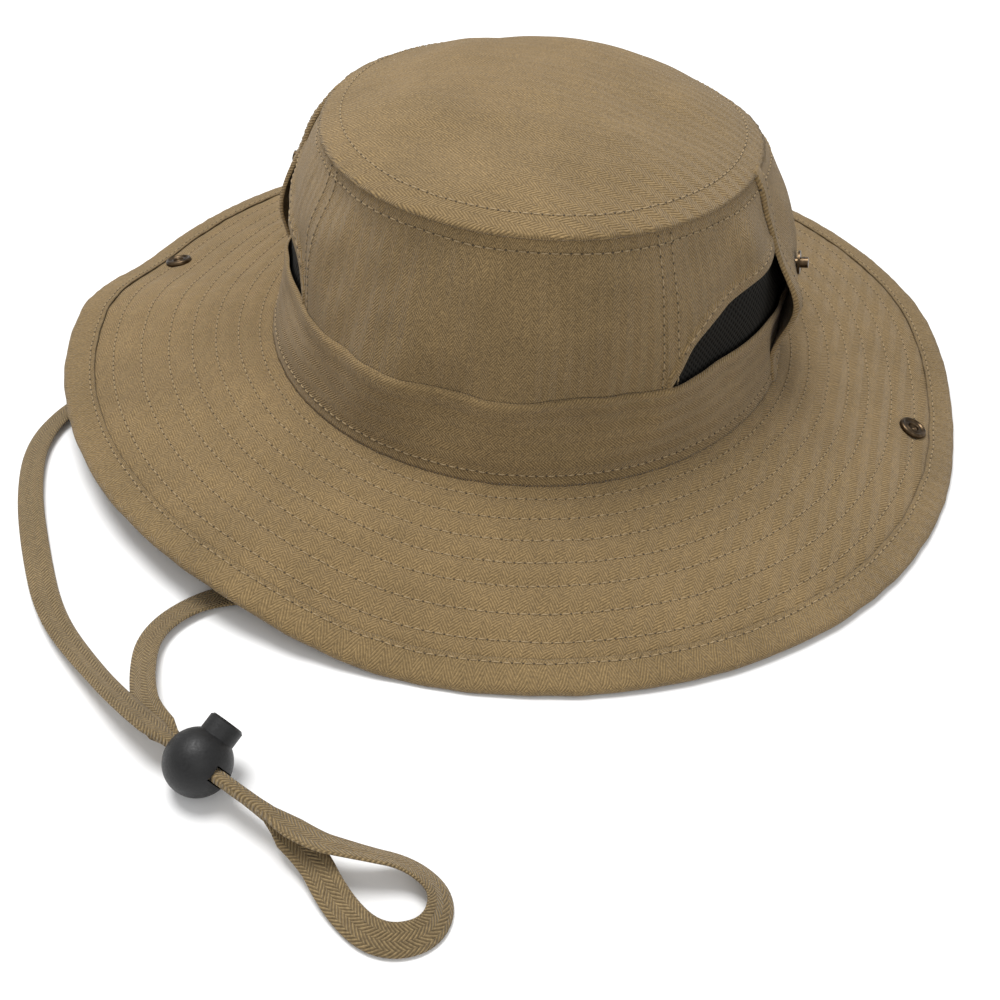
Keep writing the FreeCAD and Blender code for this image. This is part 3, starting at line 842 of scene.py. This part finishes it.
def brim_sewing(side):
    tops = row_paths(top_of_brim, side, BRIM_ROWS, upward)
    tops += row_paths(top_of_binding, side, [BINDING_ROW], upward)
    unders = row_paths(under_brim, side, BRIM_ROWS, downward)
    for name, paths in (("top", tops), ("under", unders)):
        piece = stitches(paths, "%s_brim_%s_stitches" % (side, name), THREAD_TAN)
        fold_with_wing(piece)
    fold_with_wing(needle_hole_shades(tops, side + "_brim_needle_hole_shades"))


for side in HALVES:
    brim_cloth(side)
    brim_binding(side)
    brim_sewing(side)

# ---------------------------------------------------------------- crown
WALL_RADIUS = 95.0              # turns an angle into a length for the weave
FLAP_RADIUS = 90.0              # the same for the back panel's hems
FLAP_RISE = 0.8
HEM_DEPTH = 5.0
LOW_ROW_LEVEL = 0.045           # sewing just above the brim
BAND_GROOVE = 0.25
TIP_ROW_SHARE = 0.925           # sewing above the top seam
TOP_ROW_LEVEL = 0.93            # and below it
HEM_RISE = 0.75


def wall_chart(angle, level):
    return (MM * WALL_RADIUS * math.radians(angle), MM * wall_height(angle, level))


def wall_layer(name, angles, low, high, rows, outer_offset, inner_offset, material, point=wall_point,
               closed=False):
    """A piece of the wall: low and high give its level at each angle, outer_offset its face."""
    outer = []
    inner = []
    uvs = []
    for angle in angles:
        bottom, top = low(angle), high(angle)
        levels = steps(bottom, top, rows)
        outer.append([point(angle, level, outer_offset(angle, level)) for level in levels])
        inner.append([point(angle, level, inner_offset) for level in levels])
        uvs.append([wall_chart(angle, level) for level in levels])
    return shell(name, outer, inner, uvs, material, closed)


def rounded(distance, depth, rise):
    """A turned hem: rise above the cloth within depth of the edge, with a round edge."""
    if distance > depth + 1.0:
        return 0.0
    edge = math.sqrt(max(0.0, 1.0 - (1.0 - min(distance, 1.0)) ** 2))
    return rise * edge * (1.0 - smooth((distance - depth) / 1.0)) - 0.5 * (1.0 - edge)


VENT_LINE = spline_points([(0, y, z) for y, z in VENT_CURVE], 12)
VENT_DRAW_IN = 0.955            # the wall is this much shorter at the vent than at the brim
PANEL_LOW = 0.30                # the panels end behind the band


def vent_height(y):
    """Height of the vent's upper edge at this distance along the hat."""
    if y <= VENT_CURVE[0][0]:
        return 0.0
    return float(np.interp(y, VENT_LINE[:, 1], VENT_LINE[:, 2]))


def side_low(angle):
    """Level of a side panel's lower edge, which is the vent's edge beside the vent."""
    return max(PANEL_LOW, level_at(angle, vent_height(base_point(angle).y * VENT_DRAW_IN)))


def side_face(angle, level):
    low = side_low(angle)
    if low <= PANEL_LOW:
        return PANEL_OUT
    away = (level - low) * (tip_seam_height(angle) - SEAM_Z)
    return PANEL_OUT + rounded(away, HEM_DEPTH, HEM_RISE)


def ride_hat(piece, slot, *nodes):
    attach(piece, "hat")
    if nodes:
        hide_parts(*nodes)


def at_level(value):
    """A straight edge of the wall, at one level all round."""
    return lambda _angle: value


def plain_face(value):
    """A plain face of the wall, at one offset all over."""
    return lambda _angle, _level: value


BAND_WANDER = 0.0003            # how far the band's top edge wanders, in levels of the wall


def band_top(angle):
    return BAND_LEVEL + BAND_WANDER * noise.noise(Vector((angle / 9.0, 0, 0)))


def band_face(angle, level):
    """The band's outside: a turned top edge, and a groove at its row of sewing."""
    away = (BAND_LEVEL - level) * (tip_seam_height(angle) - SEAM_Z)
    groove = BAND_GROOVE * math.exp(-((level - LOW_ROW_LEVEL) / 0.03) ** 2)
    return rounded(away, 4.5, 0.35) - groove


def flap_face(angle, _level):
    """The back panel's outside, with a turned hem at both of its front edges."""
    nearest = min(angle - HEM_ANGLE, 180.0 - HEM_ANGLE - angle)
    return rounded(math.radians(nearest) * FLAP_RADIUS, HEM_DEPTH + 1.0, FLAP_RISE)


FRONT_PANEL = (224.4, 315.6)
SIDE_PANELS = {"left": (314.8, 360.0), "right": (180.0, 225.2)}
SIDE_INSIDE = PANEL_IN - 0.03   # a little deeper, so that it parts from the front panel's inside
BAND_SPAN = (170.0, 370.0)
CLOTH_LAYER = -0.8              # inner face of the band and the back panel
MESH_SPANS = {"left": (308.0, 370.0), "right": (170.0, 232.0)}
HEM_CROWDING = 0.06             # gathers the back panel's columns towards its hems


def crown_wall():
    front = wall_layer("front_panel_cloth", steps(*FRONT_PANEL, 150), at_level(PANEL_LOW),
                       at_level(1.0), 40, plain_face(PANEL_OUT), PANEL_IN, TWILL)
    ride_hat(front, "twill_cloth", "crown_front_panel")
    for side, span in SIDE_PANELS.items():
        panel = wall_layer(side + "_side_panel_cloth", steps(*span, 130), side_low, at_level(1.0), 40,
                           side_face, SIDE_INSIDE, TWILL)
        ride_hat(panel, "twill_cloth", "crown_%s_side_panel" % side)
    back_angles = []
    for share in steps(0.0, 1.0, 260):
        crowded = share - HEM_CROWDING * math.sin(2 * math.pi * share)
        back_angles.append(HEM_ANGLE + (180.0 - 2 * HEM_ANGLE) * crowded)
    back = wall_layer("back_panel_cloth", back_angles, at_level(0.0), at_level(1.0), 60, flap_face,
                      CLOTH_LAYER, TWILL, flap_point)
    ride_hat(back, "twill_cloth", "crown_back_panel")
    band = wall_layer("hat_band_cloth", steps(*BAND_SPAN, 300), at_level(0.0), band_top, 26,
                      band_face, CLOTH_LAYER, TWILL_TURNED)
    ride_hat(band, "twill_cloth", "hat_band")
    sweat = wall_layer("sweatband_cloth", steps(0.0, 359.0, 240), at_level(0.0), at_level(BAND_LEVEL), 10,
                       plain_face(-2.5), -3.3, SWEAT, closed=True)
    ride_hat(sweat, "sweatband_cloth", "sweatband")
    tape = wall_layer("seam_tape_cloth", steps(0.0, 359.0, 200), at_level(0.845), at_level(0.915), 3,
                      plain_face(-2.6), -3.2, SWEAT, closed=True)
    ride_hat(tape, "sweatband_cloth", "crown_seam_tape")
    for side, span in MESH_SPANS.items():
        knit = wall_layer(side + "_vent_mesh_knit", steps(*span, 60), at_level(0.28), at_level(0.78), 20,
                          plain_face(-2.0), -2.4, KNIT)
        ride_hat(knit, "vent_mesh", side + "_vent_mesh")


TIP_THICKNESS = 1.0
TIP_LIP = 0.55                  # how far the top piece stands over the wall
TIP_MIDDLE = 0.001              # a pinhole, which keeps the middle's quads apart


def crown_top():
    outer = []
    inner = []
    uvs = []
    shares = [max(share, TIP_MIDDLE) for share in steps(0.0, 1.0, 64)]
    for angle in steps(0.0, 359.0, 359):
        column = [dome_point(angle, share) for share in shares]
        edge = column[-1]
        lip = wall_point(angle, WALL_TOP, TIP_LIP)
        column.append(Vector((lip.x, lip.y, edge.z - TIP_THICKNESS)))
        outer.append(column)
        below = [dome_point(angle, share * WALL_TOP, TIP_THICKNESS) for share in shares]
        below.append(wall_point(angle, 0.975, PANEL_OUT))
        inner.append(below)
        uvs.append([flat_place(point) for point in column])
    piece = shell("crown_tip_cloth", outer, inner, uvs, TWILL_TURNED, closed=True)
    ride_hat(piece, "twill_cloth", "crown_tip")


def face_of_wall(offset):
    return lambda angle, level_of_row: wall_point(angle, level_of_row, offset)


def level_row(surface, first, last, count, level_of_row):
    """A row of sewing that runs round the wall at one level."""
    places = [(angle, level_of_row, LEVEL_STEP) for angle in steps(first, last, count)]
    return dense_path(surface, places, from_middle)


def upright_row(surface, angle, low, high, count):
    """A row of sewing that runs up the wall."""
    places = [(angle, level_of_row, LEVEL_STEP) for level_of_row in steps(low, high, count)]
    return dense_path(surface, places, from_middle)


LEVEL_STEP = 0.01
SEAM_ANGLES = (225.0, 315.0)
SEAM_ROW_SHIFTS = (-0.9, 2.6)
BACK_SPAN = (HEM_ANGLE, 180.0 - HEM_ANGLE)
FRONT_SPAN = (180.0 - HEM_ANGLE, 360.0 + HEM_ANGLE)
HEM_ROW = 3.6                   # degrees from the back panel's front hem to its sewing
VENT_ROW = 4.2 / 74.0           # the same above the vent, in levels
VENT_SPAN = (319.0, 352.0)


def hem_rows(mirrored):
    """The sewing of one side's two hems: down the back panel, and over the vent."""
    hem = 180.0 - HEM_ANGLE - HEM_ROW if mirrored else HEM_ANGLE + HEM_ROW
    down = upright_row(lambda angle, row: flap_point(angle, row, HEM_RISE), hem, 0.02, 0.98, 90)
    over = []
    for angle in steps(*VENT_SPAN, 90):
        place = 540.0 - angle if mirrored else angle
        low = side_low(place)
        if low > PANEL_LOW + LEVEL_STEP:
            over.append((place, low + VENT_ROW, LEVEL_STEP))
    return [down, dense_path(face_of_wall(PANEL_OUT + 0.7), over, from_middle)]


def crown_sewing():
    around = [(angle, TIP_ROW_SHARE, LEVEL_STEP) for angle in steps(0.0, 360.0, 700)]
    rows = [dense_path(dome_point, around, upward)]
    rows.append(level_row(face_of_wall(PANEL_OUT), 180.0, 360.0, 400, TOP_ROW_LEVEL))
    rows.append(level_row(face_of_wall(0.0), *BACK_SPAN, 400, TOP_ROW_LEVEL))
    rows.append(level_row(face_of_wall(-0.22), *FRONT_SPAN, 420, LOW_ROW_LEVEL))
    rows.append(level_row(face_of_wall(0.0), *BACK_SPAN, 420, LOW_ROW_LEVEL))
    for seam in SEAM_ANGLES:
        for shift in SEAM_ROW_SHIFTS:
            rows.append(upright_row(face_of_wall(PANEL_OUT), seam + shift, 0.36, 0.98, 60))
    for mirrored in (False, True):
        rows += hem_rows(mirrored)
    ride_hat(stitches(rows, "crown_stitches", THREAD_TAN), "twill_cloth")
    ride_hat(needle_hole_shades(rows, "crown_needle_hole_shades"), "twill_cloth")


crown_wall()
crown_top()
crown_sewing()

# ---------------------------------------------------------------- snaps, lock and tacks
def snap_frame(side):
    angle = {"left": 0.0, "right": 180.0}[side]
    centre = brim_point(angle, SNAP_REACH, STACK)
    along = brim_point(angle + 2, SNAP_REACH, STACK) - brim_point(angle - 2, SNAP_REACH, STACK)
    down = brim_point(angle, SNAP_REACH + 2, STACK) - brim_point(angle, SNAP_REACH - 2, STACK)
    return centre, down.cross(along).normalized()


LATHE_STEPS = 64


def lathe(name, profile, centre, axis, material):
    """A turned piece: profile is a closed loop of (radius, height) corners."""
    turn = axis.to_track_quat("Z", "Y")
    verts = []
    for index in range(LATHE_STEPS):
        angle = 2 * math.pi * index / LATHE_STEPS
        for radius, height in profile:
            local = Vector((radius * math.cos(angle), radius * math.sin(angle), height))
            verts.append(centre + turn @ local)
    count = len(profile)
    faces = []
    for index in range(LATHE_STEPS):
        after = (index + 1) % LATHE_STEPS
        for k in range(count):
            nearer = (k + 1) % count
            faces.append((index * count + k, after * count + k, after * count + nearer,
                          index * count + nearer))
    return new_object(name, verts, faces, None, material)


SOCKET_PROFILE = [(0.02, 0.02), (0.02, 0.08), (1.75, 0.1), (1.9, 0.25), (1.9, 0.9), (2.05, 1.1),
                  (2.3, 1.15), (2.5, 1.0), (2.75, 0.85), (3.2, 0.85), (3.45, 1.0), (3.7, 1.3),
                  (4.05, 1.45), (4.4, 1.3), (4.7, 0.9), (4.8, 0.4), (4.8, 0.02)]
CAP_PROFILE = [(0.02, -2.72), (1.5, -2.7), (3.0, -2.66), (4.2, -2.5), (4.7, -2.2), (4.8, -1.95),
               (3.0, -1.9), (0.02, -1.9)]


def snaps():
    for side in HALVES:
        centre, axis = snap_frame(side)
        socket = lathe(side + "_snap_ring", SOCKET_PROFILE, centre, axis, BRONZE)
        cap = lathe(side + "_snap_disc", CAP_PROFILE, centre, axis, BRONZE)
        for piece, node in ((socket, "_snap_socket"), (cap, "_snap_cap")):
            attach(piece, side + "_brim_wing")
            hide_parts(side + node)
        for node in ("_snap_stud", "_snap_backing"):
            paint(side + node, BRONZE)


def paint(node, material):
    """Gives a CAD node its finish; its shape stays as it is."""
    piece = NODES[node]
    piece.data.materials.clear()
    piece.data.materials.append(material)


snaps()
for side in HALVES:
    paint(side + "_cord_tack", TAPE)
paint("lock_body", BLACK)
paint("lock_button", BLACK)


def pressed_spring():
    """The coil, as its own mesh with its own finish, riding with the cord lock."""
    spring = bpy.data.objects.new("lock_spring_coil", NODES["lock_spring"].data.copy())
    bpy.context.scene.collection.objects.link(spring)
    spring.data.materials.clear()
    spring.data.materials.append(STEEL)
    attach(spring, "cord_lock")
    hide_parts("lock_spring")
    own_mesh(spring)
    return spring


on_cord = [pressed_spring()]
for node in ("lock_body", "lock_button", "left_cord_tack", "right_cord_tack"):
    on_cord.append(NODES[node])
